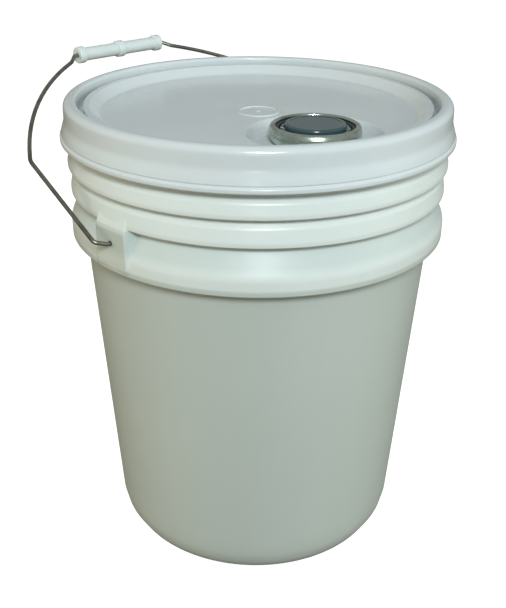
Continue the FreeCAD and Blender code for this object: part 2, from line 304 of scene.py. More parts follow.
def wearGroup():
    # Rubbed edges: where the surface turns outwards sharply, broken up by noise.
    group, source, sink = newGroup("rubbed edges", [
        ("Amount", "NodeSocketFloat", 1.0), ("Grain", "NodeSocketFloat", 120.0)],
        [("Mask", "NodeSocketFloat")])
    coords = group.nodes.new("ShaderNodeTexCoord").outputs["Object"]
    pointed = group.nodes.new("ShaderNodeNewGeometry").outputs["Pointiness"]
    edge = remap(group, pointed, 0.52, 0.62)
    grain = addNode(group, "ShaderNodeTexNoise", Detail=3.0, Roughness=0.65)
    group.links.new(coords, grain.inputs["Vector"])
    group.links.new(source.outputs["Grain"], grain.inputs["Scale"])
    broken = remap(group, grain.outputs["Fac"], 0.4, 0.62)
    mask = math2(group, "MULTIPLY", math2(group, "MULTIPLY", edge, broken), source.outputs["Amount"])
    group.links.new(mask, sink.inputs["Mask"])
    return group


def dustGroup():
    # Settled dust: on faces that look up, in soft drifts with specks.
    group, source, sink = newGroup("settled dust", [("Amount", "NodeSocketFloat", 1.0)],
                                   [("Mask", "NodeSocketFloat")])
    coords = group.nodes.new("ShaderNodeTexCoord").outputs["Object"]
    normal = group.nodes.new("ShaderNodeNewGeometry").outputs["Normal"]
    upward = addNode(group, "ShaderNodeSeparateXYZ")
    group.links.new(normal, upward.inputs[0])
    up = remap(group, upward.outputs["Z"], 0.3, 0.95)
    drift = remap(group, noise(group, coords, 22.0, 4.0, 0.65), 0.42, 0.72)
    specks = remap(group, noise(group, coords, 500.0, 1.0, 0.5), 0.70, 0.76)
    both = math2(group, "ADD", drift, math2(group, "MULTIPLY", specks, 0.4), clamp=True)
    mask = math2(group, "MULTIPLY", math2(group, "MULTIPLY", up, both), source.outputs["Amount"])
    group.links.new(mask, sink.inputs["Mask"])
    return group


groups = {"moulded": mouldedGroup(), "wear": wearGroup(), "dust": dustGroup()}


def useGroup(tree, name, **values):
    node = tree.nodes.new("ShaderNodeGroup")
    node.node_tree = groups[name]
    for key, value in values.items():
        node.inputs[key].default_value = value
    return node


def newMaterial(name):
    material = bpy.data.materials.new(name)
    material.use_nodes = True
    tree = material.node_tree
    shader = next(n for n in tree.nodes if n.type == "BSDF_PRINCIPLED")
    return material, tree, shader


def bump(tree, shader, height, strength, distance):
    node = addNode(tree, "ShaderNodeBump", Strength=strength, Distance=distance)
    tree.links.new(height, node.inputs["Height"])
    tree.links.new(node.outputs["Normal"], shader.inputs["Normal"])


def plastic(name, look):
    # Moulded plastic: two tones mixed by drift, paler where rubbed, dustier on top.
    material, tree, shader = newMaterial(name)
    moulded = useGroup(tree, "moulded", Cloud=look["cloud"], Streaks=look["streaks"],
                       Pebble=look["pebble"], Scratches=look["scratches"])
    wear = useGroup(tree, "wear", Amount=look["wear"])
    dust = useGroup(tree, "dust", Amount=look["dust"])
    tone = remap(tree, moulded.outputs["Tone"], 0.25, 0.75)
    colour = mixColour(tree, tone, look["dark"], look["light"])
    colour = mixColour(tree, wear.outputs["Mask"], colour, look["rubbed"])
    colour = mixColour(tree, dust.outputs["Mask"], colour, look["dusty"])
    tree.links.new(colour, shader.inputs["Base Color"])
    rough = math2(tree, "ADD", moulded.outputs["Dullness"], look["roughness"])
    rough = math2(tree, "ADD", rough, math2(tree, "MULTIPLY", dust.outputs["Mask"], 0.3), clamp=True)
    tree.links.new(rough, shader.inputs["Roughness"])
    bump(tree, shader, moulded.outputs["Height"], look["bump"], 0.0002)
    shader.inputs["Subsurface Weight"].default_value = look["milky"]
    shader.inputs["Subsurface Radius"].default_value = (0.010, 0.011, 0.009)
    shader.inputs["Subsurface Scale"].default_value = 1.0
    shader.inputs["IOR"].default_value = 1.5
    shader.inputs["Coat Weight"].default_value = look["coat"]
    shader.inputs["Coat Roughness"].default_value = look["coatRoughness"]
    return material


def steel(name, look):
    # Metal with a fine grain, tarnish in soft patches and pin-point rust.
    material, tree, shader = newMaterial(name)
    coords = tree.nodes.new("ShaderNodeTexCoord").outputs["Object"]
    patches = remap(tree, noise(tree, coords, look["patchScale"], 4.0, 0.65), 0.42, 0.66)
    fine = noise(tree, coords, look["grainScale"], 3.0, 0.6)
    spots = remap(tree, noise(tree, coords, look["spotScale"], 2.0, 0.6), look["spotEdge"], look["spotEdge"] + 0.06)
    colour = mixColour(tree, patches, look["bright"], look["dull"])
    colour = mixColour(tree, spots, colour, look["spot"])
    tree.links.new(colour, shader.inputs["Base Color"])
    rough = math2(tree, "ADD", math2(tree, "MULTIPLY", patches, look["patchRoughness"]), look["roughness"])
    rough = math2(tree, "ADD", rough, math2(tree, "MULTIPLY", math2(tree, "SUBTRACT", fine, 0.5), 0.15))
    rough = math2(tree, "ADD", rough, math2(tree, "MULTIPLY", spots, 0.3), clamp=True)
    tree.links.new(rough, shader.inputs["Roughness"])
    metal = math2(tree, "SUBTRACT", 1.0, math2(tree, "MULTIPLY", spots, 0.7))
    tree.links.new(metal, shader.inputs["Metallic"])
    bump(tree, shader, fine, look["bump"], 0.0001)
    return material


plainLook = {"cloud": 0.6, "streaks": 0.2, "pebble": 0.5, "scratches": 0.0, "wear": 0.3, "dust": 0.0,
             "milky": 0.0, "coat": 0.0, "coatRoughness": 0.3}
looks = {
    "pail": {"dark": (0.68, 0.72, 0.685), "light": (0.73, 0.77, 0.735), "rubbed": (0.80, 0.82, 0.79),
             "dusty": (0.55, 0.54, 0.46), "cloud": 0.5, "streaks": 0.45, "scratches": 0.4, "dust": 0.15,
             "roughness": 0.34, "bump": 0.2, "milky": 0.12, "coat": 0.06, "coatRoughness": 0.25},
    "lid": {"dark": (0.61, 0.645, 0.65), "light": (0.66, 0.70, 0.705), "rubbed": (0.78, 0.81, 0.79),
            "dusty": (0.56, 0.57, 0.50), "cloud": 0.3, "pebble": 0.08, "scratches": 0.4, "dust": 0.05,
            "roughness": 0.20, "bump": 0.06, "milky": 0.12, "coat": 0.2, "coatRoughness": 0.12},
    "spout": {"dark": (0.020, 0.025, 0.026), "light": (0.034, 0.040, 0.042), "rubbed": (0.11, 0.12, 0.12),
              "dusty": (0.18, 0.18, 0.165), "pebble": 0.8, "scratches": 0.6, "wear": 0.5, "dust": 0.2,
              "roughness": 0.38, "bump": 0.3, "coatRoughness": 0.2},
    "cap": {"dark": (0.028, 0.054, 0.061), "light": (0.047, 0.084, 0.094), "rubbed": (0.20, 0.23, 0.235),
            "dusty": (0.22, 0.23, 0.22), "streaks": 0.1, "scratches": 0.9, "wear": 0.6, "dust": 0.22,
            "roughness": 0.22, "bump": 0.25, "coat": 0.5, "coatRoughness": 0.08},
    "grip": {"dark": (0.60, 0.66, 0.64), "light": (0.70, 0.76, 0.74), "rubbed": (0.88, 0.90, 0.88),
             "dusty": (0.66, 0.66, 0.60), "pebble": 0.4, "scratches": 0.5, "dust": 0.15, "roughness": 0.24,
             "bump": 0.25, "milky": 0.35, "coat": 0.2, "coatRoughness": 0.15},
    "seal": {"dark": (0.05, 0.058, 0.06), "light": (0.075, 0.083, 0.085), "rubbed": (0.16, 0.17, 0.17),
             "dusty": (0.2, 0.2, 0.19), "pebble": 0.6, "scratches": 0.3, "roughness": 0.42, "bump": 0.3},
    "liner": {"dark": (0.60, 0.60, 0.57), "light": (0.72, 0.72, 0.69), "rubbed": (0.8, 0.8, 0.78),
              "dusty": (0.6, 0.6, 0.55), "cloud": 0.5, "streaks": 0.0, "pebble": 1.6, "wear": 0.2,
              "roughness": 0.7, "bump": 0.8, "milky": 0.1},
    "gasket": {"dark": (0.28, 0.28, 0.25), "light": (0.36, 0.36, 0.33), "rubbed": (0.45, 0.45, 0.42),
               "dusty": (0.4, 0.4, 0.36), "cloud": 0.5, "streaks": 0.0, "pebble": 1.4, "wear": 0.2,
               "roughness": 0.6, "bump": 0.6},
}
metals = {
    # The crimp ring's green tint, in its bright and dull tones alike, is a painted reflection of the green lid around
    # it.
    "crimp": {"bright": (0.68, 0.76, 0.68), "dull": (0.42, 0.47, 0.39), "spot": (0.30, 0.24, 0.14),
              "patchScale": 55.0, "grainScale": 1400.0, "spotScale": 420.0, "spotEdge": 0.70,
              "patchRoughness": 0.16, "roughness": 0.2, "bump": 0.12},
    "wire": {"bright": (0.34, 0.33, 0.29), "dull": (0.17, 0.16, 0.13), "spot": (0.16, 0.085, 0.035),
             "patchScale": 70.0, "grainScale": 900.0, "spotScale": 500.0, "spotEdge": 0.62,
             "patchRoughness": 0.2, "roughness": 0.32, "bump": 0.35},
}
materials = {name: plastic(name + " plastic", {**plainLook, **look}) for name, look in looks.items()}


def paintWallShade(material, look):
    # Painted shade: the base colour is multiplied by a darker tone on the bare wall under the skirt's lip, on the
    # skirt's upper cone under the lowest hoop, and on the ears' flat faces, which stand furthest out along X. These
    # tones stand in for the shade there and for the dark inside seen through one skin, so these parts read duller than
    # the doubled hoops.
    tree = material.node_tree
    shader = next(n for n in tree.nodes if n.type == "BSDF_PRINCIPLED")
    coords = tree.nodes.new("ShaderNodeTexCoord").outputs["Object"]
    place = tree.nodes.new("ShaderNodeSeparateXYZ")
    tree.links.new(coords, place.inputs[0])
    height = place.outputs["Z"]
    start, full, end = look["cone"]
    low = remap(tree, height, (look["below"] - 1) * mm, (look["below"] + 1) * mm, 1.0, 0.0)
    cone = math2(tree, "MULTIPLY", remap(tree, height, start * mm, full * mm),
                 remap(tree, height, end * mm, (end + 0.8) * mm, 1.0, 0.0))
    far = math2(tree, "ABSOLUTE", place.outputs["X"])
    ear = remap(tree, far, look["earFace"] * mm, (look["earFace"] + 0.1) * mm)
    plain = shader.inputs["Base Color"].links[0].from_socket
    # Each mask multiplies the colour by its painted shade tone.
    for mask, tone in ((low, look["wall"]), (cone, look["coneShade"]), (ear, look["earShade"])):
        plain = mixColour(tree, 1.0, plain, mixColour(tree, mask, (1, 1, 1), tone), "MULTIPLY")
    tree.links.new(plain, shader.inputs["Base Color"])


# Painted shade tones for the pail: the bare wall under the skirt's lip, the skirt's upper cone and the ears' faces.
paintWallShade(materials["pail"], {"below": 281.2, "wall": (0.74, 0.75, 0.72), "cone": (289.0, 297.0, 311.0),
                             "coneShade": (0.84, 0.87, 0.87), "earFace": 148.6, "earShade": (0.88, 0.87, 0.83)})
materials.update({name: steel(name + " steel", look) for name, look in metals.items()})
print("materials ready", len(materials))


# ---- pail ---------------------------------------------------------------------

pailSizes = {
    "wall": 2.3, "baseRadius": 120.3, "taper": 0.0647, "corner": 32.0, "footInner": 80.0, "footRecess": 2.5,
    "footPad": 14.0, "rimDepth": 5.6, "ribSkin": 2.2,
    "hoops": [
        {"lip": 146.8, "lipZ": 312.0, "low": 315.4, "high": 324.7, "root": 329.2, "step": 1.8},
        {"lip": 148.0, "lipZ": 332.0, "low": 335.2, "high": 342.7, "root": 346.7, "step": 1.7}],
    "skirt": {"lip": 148.3, "lipZ": 277.0, "low": 289.7, "root": 307.7},
    "earFace": 148.8, "earFlat": 15.0, "earHalf": 28.0, "flankBend": 2.5, "flankLow": 287.2, "earSkin": 2.5,
    "earPocket": 17.0, "earFoot": 284.0, "earBrow": 4.5, "holeRadius": 2.0, "holeDepth": 2.4,
}


def pailPiece():
    # One profile carried round Z. At each ear the outer points are pushed out to the ear's surface,
    # r = face(y, z) / cos(angle): face is flat in the middle, falls away down a bent flank on each side that
    # is steeper higher up, and leans back a little at its foot and under the lowest hoop's lip, where it joins
    # the hoop. The hollow behind that lip is closed up over the ear, and the skirt's inner side follows one
    # skin further in. A small pit in each face takes the bail's end.
    s = pailSizes
    wallAt = lambda z: s["baseRadius"] + s["taper"] * z
    rim = lidTop - s["rimDepth"]
    skirt = s["skirt"]
    lipZ = s["hoops"][0]["lipZ"]
    pad = s["footPad"]
    corners = [(0, 0, 0), (pad, 0, 1.0), (pad + s["footRecess"], s["footRecess"], 1.0),
               (s["footInner"], s["footRecess"], 1.5), (s["footInner"] + 3, 0, 1.5),
               (s["baseRadius"], 0, s["corner"])]
    corners += [(wallAt(skirt["root"] - 4.5), skirt["root"] - 4.5, 0.8),
                (skirt["lip"] - s["ribSkin"], skirt["low"] - 1, 10.0),
                (skirt["lip"] - s["ribSkin"], skirt["lipZ"], 0.7)]
    outerStart = len(corners)
    corners += [(skirt["lip"], skirt["lipZ"], 0.9),
                (skirt["lip"], skirt["low"], 13.0), (wallAt(skirt["root"]), skirt["root"], 2.5)]
    pocketStart = len(corners)
    for hoop in s["hoops"]:
        inner = hoop["lip"] - s["ribSkin"]
        corners += [(wallAt(hoop["root"] - 3.4), hoop["root"] - 3.4, 0.8),
                    (inner - hoop["step"], hoop["high"] - 2.4, 2.0), (inner, hoop["low"] - 1, 4.0),
                    (inner, hoop["lipZ"], 0.7), (hoop["lip"], hoop["lipZ"], 0.9), (hoop["lip"], hoop["low"], 6.0),
                    (hoop["lip"] - hoop["step"], hoop["high"], 4.0), (wallAt(hoop["root"]), hoop["root"], 1.5)]
    corners += [(wallAt(rim - 11), rim - 11, 1.0), (145.7, rim - 8, 1.0), (145.7, rim - 4.5, 1.0),
                (wallAt(rim), rim - 2.6, 1.0), (wallAt(rim), rim, 0.9), (wallAt(rim) - s["wall"], rim, 0.9),
                (wallAt(s["wall"]) - s["wall"], s["wall"], s["corner"] - s["wall"]),
                (s["footInner"] + 2, s["wall"], 1.5), (s["footInner"] - 1, s["footRecess"] + s["wall"], 1.5),
                (0, s["footRecess"] + s["wall"], 0)]
    outerEnd = pocketStart + 6
    onEar = lambda t: (t >= outerStart - 0.5) & (t <= outerEnd)
    line, tag = outline(corners, lambda m, t: np.where(onEar(t), 2.0, 11.0), closed=False, steps=5)
    nearHole = lambda m, t: onEar(t) & (np.abs(m[:, 1] - pivotHeight) < 3.2)
    line, tag = filled(line, tag, lambda m, t: np.where(nearHole(m, t), 0.42, 50.0), closed=False)
    line = np.vstack([line, [(0, s["footRecess"] + s["wall"])]])
    tag = np.r_[tag, tag[-1] + 1]

    edge = math.degrees(math.asin(s["earHalf"] / s["earFace"]))
    pocketEdge = math.degrees(math.asin(s["earPocket"] / s["earFace"]))
    degrees = np.concatenate([np.arange(0, 360, 2.0)] + [
        side + np.concatenate([np.linspace(-edge, edge, 74), np.linspace(-1.3, 1.3, 18),
                               [-pocketEdge - 0.02, -pocketEdge + 0.02, pocketEdge - 0.02, pocketEdge + 0.02]])
        for side in (0, 180)])
    angles = np.radians(np.unique(np.round(degrees % 360, 3)))
    points = turned(line, angles)

    across = np.abs(points[..., 1])
    r = np.hypot(points[..., 0], points[..., 1])
    height = line[:, 1][:, None] + 0 * r
    cosine = np.maximum(np.abs(np.cos(angles))[None, :], 0.5)
    nearEar = (np.abs(np.sin(angles))[None, :] * s["earFace"] < s["earHalf"] + 3) & (np.abs(np.cos(angles)) > 0.5)
    outer = onEar(tag)[:, None] & nearEar
    wallLine = ((tag > pocketStart - 1) & (tag <= pocketStart - 0.05))[:, None]
    inner = ((tag > pocketStart - 0.05) & (tag < pocketStart + 3.6))[:, None]
    hidden = outer & (inner | wallLine & (height > lipZ))
    level = np.where(hidden, np.minimum(height, lipZ), height)
    out = np.abs(np.sin(angles))[None, :] * s["earFace"] - s["earFlat"] + 0 * r
    bend = s["flankBend"]
    fall = np.where(out < bend, np.clip(out, 0, bend) ** 2 / (2 * bend), bend / 2 + (out - bend))
    fall = fall * np.clip(0.5 + 0.12 * (level - s["flankLow"]), 0.5, 3)
    above = np.clip(level - (lipZ - s["earBrow"]), 0, None)
    below = np.clip(s["earFoot"] - level, 0, None)
    face = s["earFace"] - fall - 0.45 * above ** 2 / (above + 6) - 0.33 * below ** 2 / (below + 3)
    behind = ((tag > outerStart - 2.4) & (tag < outerStart - 0.5))[:, None]
    inPocket = nearEar & (np.abs(np.sin(angles))[None, :] * s["earFace"] < s["earPocket"] - s["earSkin"])
    closing = hidden & (face / cosine > s["hoops"][0]["lip"] - 0.4)
    wanted = np.where(outer & ~hidden | closing, face / cosine, 0)
    wanted = np.where(behind & inPocket, (s["earFace"] - s["earSkin"]) / cosine, wanted)
    newR = np.maximum(r, wanted)
    points[..., 2] = np.where(closing, level, height)
    fromHole = np.hypot(newR * np.sin(angles)[None, :], height - pivotHeight)
    pit = np.clip((s["holeRadius"] + 0.15 - fromHole) / 0.3, 0, 1)
    newR = newR - np.where(outer & ~hidden, pit * s["holeDepth"], 0)
    points[..., :2] *= np.where(r > 1e-6, newR / np.maximum(r, 1e-6), 1)[..., None]
    return makePiece("pailShell", [(points, False, True)], "pail", ["pail_body"],
                     materials["pail"])


pailPiece()


# ---- lid ----------------------------------------------------------------------

lidSizes = {
    "panelDepth": 12.0, "skin": 2.2, "wellRadius": 48.5, "wellDepth": 18.0, "neckRadius": 27.0,
    "neckTop": 10.4, "rays": 360, "panelEdge": 118.5, "edgeRound": 1.1,
}


def lidPiece():
    # Rays run out from the spout's axis. Near it, each row of the surface is a circle about that axis: the
    # neck, the well's floor and its slope. Further out each row is a circle about the lid's own axis, and a
    # ray meets it at t = -s.e + sqrt(R^2 - s^2 + (s.e)^2), s the spout's place and e the ray's direction.
    # Rows that would fall inside the well run together at its edge.
    s = lidSizes
    skin = s["skin"]
    panel = s["panelDepth"]
    top = [(s["panelEdge"], panel, 0), (121.5, panel, 3.0), (128.5, 4.8, 2.0), (133.5, 4.8, 1.2),
           (133.5, 14.0, 1.2), (138.4, 14.0, 1.2), (138.4, 0, 2.4), (148.0, 0, 5.0), (148.3, 14.5, 14.0),
           (150.2, 20.3, 3.0), (151.1, 23.6, 0.8), (150.5, 24.6, 0.4), (152.2, 26.0, 1.0), (152.2, 29.2, 1.1)]
    under = [(150.0, 29.2, 0.8), (149.0, 24.0, 2.0), (146.4, 17.0, 5.0), (146.3, skin, 2.8),
             (138.4 + skin, skin, 1.0), (138.4 + skin, 14.0 + skin, 1.6), (133.5 - skin, 14.0 + skin, 1.6),
             (133.5 - skin, 4.8 + skin, 0.9), (129.4, 4.8 + skin, 0.9), (122.4, panel + skin, 2.0),
             (s["panelEdge"], panel + skin, 0)]
    line, tag = outline(top + under, lambda m, t: 3.0, closed=False)
    line = np.vstack([line, [(s["panelEdge"], panel + skin)]])
    tag = np.r_[tag, len(top + under) - 1]
    upper = tag < len(top) - 0.5

    ridge = 133.0
    heading = ring(s["rays"])
    toRidge = ridge * np.stack([np.cos(heading), np.sin(heading)], -1) - spoutAxis
    ray = toRidge / np.linalg.norm(toRidge, axis=1)[:, None]
    along = ray @ spoutAxis
    reachTo = lambda radius: -along + np.sqrt(radius ** 2 - spoutAxis @ spoutAxis + along ** 2)
    axisDistance = lambda t: np.linalg.norm(spoutAxis + ray * t[:, None], axis=1)
    topLine = line[upper & (line[:, 0] < 133.45) & (line[:, 1] < panel + 0.01)]
    underLine = line[~upper & (line[:, 0] < 131.2)][::-1]
    topDepth = lambda radius: np.interp(radius, topLine[:, 0], topLine[:, 1])
    underDepth = lambda radius: np.interp(radius, underLine[:, 0], underLine[:, 1])

    full = np.ones(s["rays"])
    rows = []
    well = s["wellRadius"]
    neck, neckTag = outline([
        (s["neckRadius"], s["wellDepth"] + skin, 0.8), (s["neckRadius"], s["neckTop"], 0.6),
        (30.8, s["neckTop"], 0.8), (30.8, 12.6, 0.6), (29.4, 13.8, 0.6), (29.4, s["wellDepth"], 1.0),
        (44.5, s["wellDepth"], 2.0), (well - 0.35, 12.9, 0)], lambda m, t: 2.5, closed=False, steps=5)
    rows += [(full * r, full * depth) for r, depth in neck]

    edge = well + s["edgeRound"]
    edgeDepth = topDepth(axisDistance(full * edge))
    for out, down in ((0.0, 1.0), (0.12, 0.62), (0.36, 0.28), (0.70, 0.07)):
        rows.append((full * (well + out * s["edgeRound"]), edgeDepth + down * s["edgeRound"]))
    rows.append((full * edge, edgeDepth))
    panelOut = np.maximum(reachTo(s["panelEdge"]), edge)
    for share in np.linspace(0, 1, 26)[1:-1]:
        reach = edge + (panelOut - edge) * share
        rows.append((reach, topDepth(axisDistance(reach))))
    wellOut = well + skin
    outEdge = wellOut + 0.5
    underEdge = underDepth(axisDistance(full * outEdge))
    for (radius, depth), isUpper in zip(line, upper):
        reach = reachTo(radius)
        limit, limitDepth = (edge, edgeDepth) if isUpper else (outEdge, underEdge)
        inside = (reach < limit) & (radius < 133.4)
        rows.append((np.where(inside, limit, reach), np.where(inside, limitDepth, depth)))
    underOut = np.maximum(reachTo(s["panelEdge"]), outEdge)
    for share in np.linspace(1, 0, 14)[1:-1]:
        reach = outEdge + (underOut - outEdge) * share
        rows.append((reach, underDepth(axisDistance(reach))))
    rows.append((full * outEdge, underEdge))
    rows.append((full * wellOut, underEdge + 0.5))
    outside, outsideTag = outline([(wellOut, 14.8, 0), (45.9, s["wellDepth"] + skin, 2.0),
                                   (28.0, s["wellDepth"] + skin, 0)], lambda m, t: 4.0, closed=False, steps=5)
    rows += [(full * r, full * depth) for r, depth in outside]

    reach = np.array([row[0] for row in rows])
    depth = np.array([row[1] for row in rows])
    points = np.concatenate([spoutAxis + ray[None] * reach[..., None], (lidTop - depth)[..., None]], -1)
    radius = np.hypot(points[..., 0], points[..., 1])
    angle = np.arctan2(points[..., 1], points[..., 0])
    flat = np.clip((119 - radius) / 30, 0, 1) * np.clip((np.hypot(*(points[..., :2] - spoutAxis).T).T - 52) / 20, 0, 1)
    points[..., 2] += flat * 0.28 * (np.cos(2 * angle + 0.6) * radius / 119 + 0.5 * np.cos(3 * angle + 2.0))
    return makePiece("lidShell", [(points, True, True)], "lid", ["lid_cover"],
                     materials["lid"])


def lidMark():
    # The round mark left in the middle of the panel by the mould: a low raised ring with a small pip.
    mark = {"centre": (-6.5, -6.2), "radius": 15.0, "width": 3.2, "height": 0.7, "depth": 12.0}
    place = np.array([*mark["centre"], lidTop - mark["depth"]])
    half = mark["width"] / 2
    low, high = -0.5, mark["height"]
    band, tag = softCorners([(mark["radius"] - half, low, 0), (mark["radius"] - half * 0.6, high, 0.3),
                             (mark["radius"] + half * 0.6, high, 0.3), (mark["radius"] + half, low, 0)], steps=4)
    pip, tag = softCorners([(0, low, 0), (1.6, low, 0), (1.4, 0.6, 0.4), (0, 0.7, 0)], closed=False, steps=4)
    grids = [(turned(band, ring(96)) + place, True, True), (turned(pip, ring(32)) + place, True, True)]
    return makePiece("lidMouldMark", grids, "lid", [], materials["lid"])


def gasketPiece():
    line, tag = softCorners([(141.65, lidTop - 2.2, 0.3), (143.4, lidTop - 2.2, 0.5), (144.5, lidTop - 3.3, 0.5),
                             (144.5, lidTop - 5.3, 0.4), (141.65, lidTop - 5.3, 0.4)], steps=5)
    return makePiece("rimGasket", [(turned(line, ring(200)), True, True)], "lid", ["lid_gasket"],
                     materials["gasket"])


lidPiece()
lidMark()
gasketPiece()


# ---- spout --------------------------------------------------------------------

spoutSizes = {
    "crimpRing": [(28.3, 7.3, 0.2), (28.3, 5.6, 1.3), (31.8, 5.6, 2.4), (33.2, 9.2, 3.0), (33.2, 12.8, 3.0),
                  (31.3, 16.6, 0.2), (30.6, 16.2, 0.2), (32.5, 12.6, 2.4), (32.5, 9.3, 2.4), (31.4, 6.3, 1.7),
                  (29.0, 6.3, 0.6), (29.0, 7.3, 0.2)],
    "collar": [(25.8, 10.4, 0.3), (25.8, 7.7, 1.0), (31.4, 7.7, 1.4), (32.1, 12.6, 0.3), (31.1, 12.6, 0.3),
               (31.1, 10.4, 0.3)],
    "bellows": [(26.8, 10.4, 0.2), (26.8, 37.0, 2.0), (22.4, 37.0, 2.0), (22.4, 31.05, 0.2),
                (23.4, 31.05, 0.2), (23.4, 36.0, 1.0), (25.8, 36.0, 1.0), (25.8, 10.4, 0.2)],
    "thread": {"core": 17.8, "crest": 19.2, "pitch": 4.0, "first": 10.6},
    "cap": {"radius": 21.7, "top": 4.5, "ribs": 60, "ribDepth": 0.35},
    "handle": {"inner": 22.4, "outer": 24.9, "top": 8.0, "bottom": 10.2, "offset": 1.7},
}


def nozzlePiece():
    # The bore and flange are a profile carried round the axis. On the outer side the radius is the core plus
    # a rounded ridge that climbs one pitch a turn: crest * max(0, 1 - (distance to ridge / half width)^2).
    s = spoutSizes["thread"]
    corners = [(15.5, 33.0, 0.3), (15.5, 8.6, 0.5), (17.8, 8.6, 0.6), (s["core"], 29.2, 0.8),
               (23.4, 29.2, 0.5), (23.4, 31.0, 0.4), (17.8, 31.0, 0.3), (17.8, 33.0, 0.3)]
    line, tag = outline(corners, lambda m, t: np.where((m[:, 0] > 17.7) & (m[:, 1] < 27), 0.35, 4.0), steps=5)
    angles = ring(144)
    depth = line[:, 1][:, None]
    turnsDown = (depth - s["first"]) / s["pitch"] - angles[None, :] / (2 * np.pi)
    fromRidge = np.abs(turnsDown - np.round(turnsDown)) * s["pitch"]
    start = np.clip(turnsDown * 6 + 0.5, 0, 1) * np.clip((2.9 - turnsDown) * 6, 0, 1)
    ridge = np.clip(1 - (fromRidge / 0.95) ** 2, 0, 1) * start * (s["crest"] - s["core"])
    onCore = (line[:, 0] > s["core"] - 0.05) & (line[:, 0] < s["core"] + 0.05) & (line[:, 1] < 28)
    points = turned(np.stack([line[:, 0], lidTop - line[:, 1]], -1), angles)
    points[..., :2] *= (1 + np.where(onCore[:, None], ridge, 0) / s["core"])[..., None]
    return makePiece("pouringNozzle", [(atSpout(points), True, True)], "spout", ["spout_nozzle"],
                     materials["spout"])


def sealPiece():
    # A thin disc with a weakened ring near its edge, and a pull ring on a post.
    disc, tag = softCorners([(0, lidTop - 21.0, 0), (15.4, lidTop - 21.0, 0.2), (15.4, lidTop - 19.8, 0.2),
                             (13.6, lidTop - 19.8, 0.2), (13.2, lidTop - 20.4, 0.2), (12.6, lidTop - 20.4, 0.2),
                             (12.2, lidTop - 19.8, 0.2), (0, lidTop - 19.8, 0)], closed=False, steps=4)
    disc = np.vstack([disc, [(0, lidTop - 19.8)]])
    around = ring(24)
    tube = np.stack([6.0 + 0.9 * np.cos(around), lidTop - 18.3 + 0.9 * np.sin(around)], -1)
    post = turned(np.array([(0, lidTop - 20.1), (0.8, lidTop - 20.1), (0.8, lidTop - 18.3), (0, lidTop - 18.3)]),
                  ring(16)) + np.array([6.0, 0, 0])
    grids = [(atSpout(turned(disc, ring(96))), False, True), (atSpout(turned(tube, ring(64))), True, True),
             (atSpout(post), False, True)]
    return makePiece("tearOutSeal", grids, "spout", ["pour_seal"], materials["seal"])


def capPiece():
    # A profile carried round the axis, with shallow upright flutes in the skirt and four short hinge pins.
    s = spoutSizes["cap"]
    corners = [(0, 5.0, 0), (17.6, 5.0, 1.0), (18.6, s["top"], 0.8), (s["radius"], s["top"], 1.8),
               (s["radius"], 11.2, 0.5), (25.0, 11.2, 0.4), (25.0, 12.8, 0.4), (s["radius"], 12.8, 0.6),
               (s["radius"], 24.0, 0.4), (19.6, 24.0, 0.4), (19.6, 6.6, 0.5), (0, 6.6, 0)]
    line, tag = outline(corners, lambda m, t: np.where(m[:, 0] > 20, 0.8, 1.6), closed=False)
    line = np.vstack([line, [(0, 6.6)]])
    angles = ring(s["ribs"] * 6)
    points = turned(np.stack([line[:, 0], lidTop - line[:, 1]], -1), angles)
    onSkirt = (line[:, 0] > 21.6) & (line[:, 1] > 13.4) & (line[:, 1] < 23.7)
    flute = np.clip(np.cos(angles * s["ribs"]), 0, 1) * s["ribDepth"] / s["radius"]
    points[..., :2] *= (1 - np.where(onSkirt[:, None], flute[None, :], 0))[..., None]
    grids = [(toHandleLine(points), False, True)]
    h = spoutSizes["handle"]
    depth = (h["top"] + h["bottom"]) / 2
    for offset in (h["offset"], -h["offset"]):
        for side in (1, -1):
            pin = rodAlongX(20.5, 23.6, 0.5) * np.array([side, 1, 1])
            grids.append((toHandleLine(pin + np.array([0, offset, lidTop - depth])), False, True))
    return makePiece("screwCap", grids, "cap", ["spout_cap"], materials["cap"])


def rodAlongX(start, end, radius, count=20):
    # Rings of one radius along X, closed at both ends by a ring of no radius.
    x = np.array([start, start, end, end])[:, None]
    r = np.array([0, radius, radius, 0])[:, None]
    around = ring(count)[None, :]
    return np.stack([x + 0 * around, r * np.cos(around), r * np.sin(around)], -1)


def toHandleLine(points):
    # Turned about Z so that X lies along the handles' hinge line, then moved to the spout's axis.
    c, n = math.cos(handleAzimuth), math.sin(handleAzimuth)
    x, y = points[..., 0], points[..., 1]
    return atSpout(np.stack([x * c - y * n, x * n + y * c, points[..., 2]], -1))


